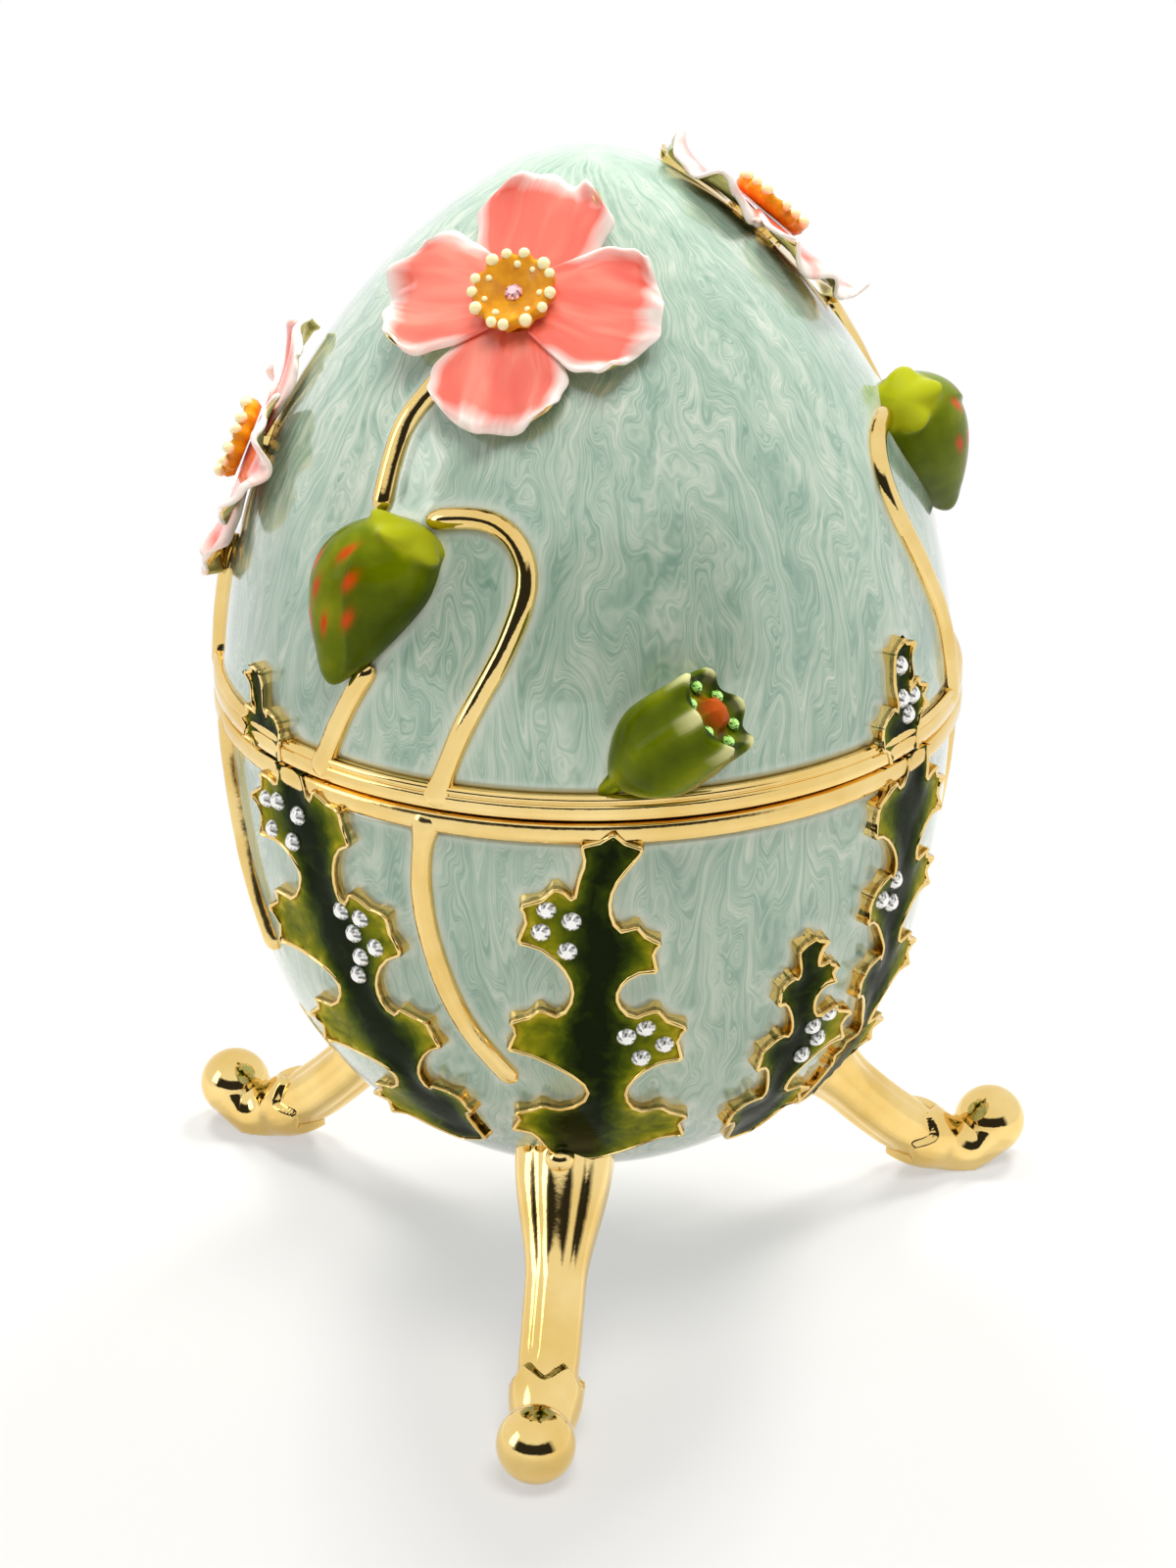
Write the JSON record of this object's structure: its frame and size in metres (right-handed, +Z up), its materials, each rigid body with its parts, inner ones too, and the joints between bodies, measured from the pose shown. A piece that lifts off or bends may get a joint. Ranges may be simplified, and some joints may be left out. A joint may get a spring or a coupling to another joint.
{
  "type": "decorative egg on stand",
  "caption": "Enamelled egg box on cast ball-toed feet, hinged at the back, with applied leaves, stems, buds, pods and flowers set with stones.",
  "frame": {"origin": "middle of the footprint's bounding box, on the surface that the feet stand on; the axis of the egg is a few millimetres behind it", "axes": "+Z up along the axis of the egg, -Y to the front leg, hinge at the +Y side"},
  "size_m": [0.0832, 0.0838, 0.1073],
  "materials": {
    "gold_plate": "polished gold plate",
    "aqua_enamel": "pearly swirled enamel",
    "green_enamel": "translucent enamel",
    "olive_enamel": "glossy enamel",
    "coral_enamel": "glossy enamel",
    "amber_enamel": "glossy enamel",
    "clear_stone": "cut",
    "green_stone": "cut",
    "pink_stone": "cut"
  },
  "bodies": {
    "base": {"back_small_leaf": "gold_plate", "cup_enamel": "aqua_enamel", "cup_hinge": "gold_plate", "cup_leaf_stones": "clear_stone", "cup_rim": "gold_plate", "cup_shell": "gold_plate", "front_cup_stem": "gold_plate", "front_leg": "gold_plate", "front_leg_leaf": "gold_plate", "hinge_pin": "gold_plate", "left_cup_stem": "gold_plate", "left_leg": "gold_plate", "left_leg_leaf": "gold_plate", "left_side_leaf": "gold_plate", "leg_leaf_enamel": "green_enamel", "locating_collar": "gold_plate", "right_cup_stem": "gold_plate", "right_leg": "gold_plate", "right_leg_leaf": "gold_plate", "right_side_leaf": "gold_plate", "right_small_leaf": "gold_plate", "side_cup_stem": "gold_plate", "side_leaf_enamel": "green_enamel", "small_leaf_enamel": "green_enamel"},
    "lid": {"back_bud": "olive_enamel", "back_bud_stem": "gold_plate", "flower_discs": "amber_enamel", "flower_posts": "gold_plate", "flower_stones": "pink_stone", "front_bud": "olive_enamel", "front_bud_stem": "gold_plate", "front_pod": "olive_enamel", "front_side_stem": "gold_plate", "leaf_tip_enamel": "green_enamel", "left_flower_lower_petals": "coral_enamel", "left_flower_stem": "gold_plate", "left_flower_upper_petals": "coral_enamel", "left_leaf_tip": "gold_plate", "left_pod": "olive_enamel", "lid_enamel": "aqua_enamel", "lid_hinge": "gold_plate", "lid_leaf_stones": "clear_stone", "lid_rim": "gold_plate", "lid_shell": "gold_plate", "pod_stones": "green_stone", "right_bud": "olive_enamel", "right_bud_stem": "gold_plate", "right_flower_lower_petals": "coral_enamel", "right_flower_stem": "gold_plate", "right_flower_upper_petals": "coral_enamel", "right_leaf_tip": "gold_plate", "right_pod": "olive_enamel", "top_flower_lower_petals": "coral_enamel", "top_flower_stem": "gold_plate", "top_flower_upper_petals": "coral_enamel"}
  },
  "joints": [
    {"name": "lid_hinge", "type": "hinge", "parent": "base", "child": "lid", "pos_m": [0, 0.04045, 0.0585], "axis": [-1, 0, 0], "range_deg": [0, 95]}
  ]
}
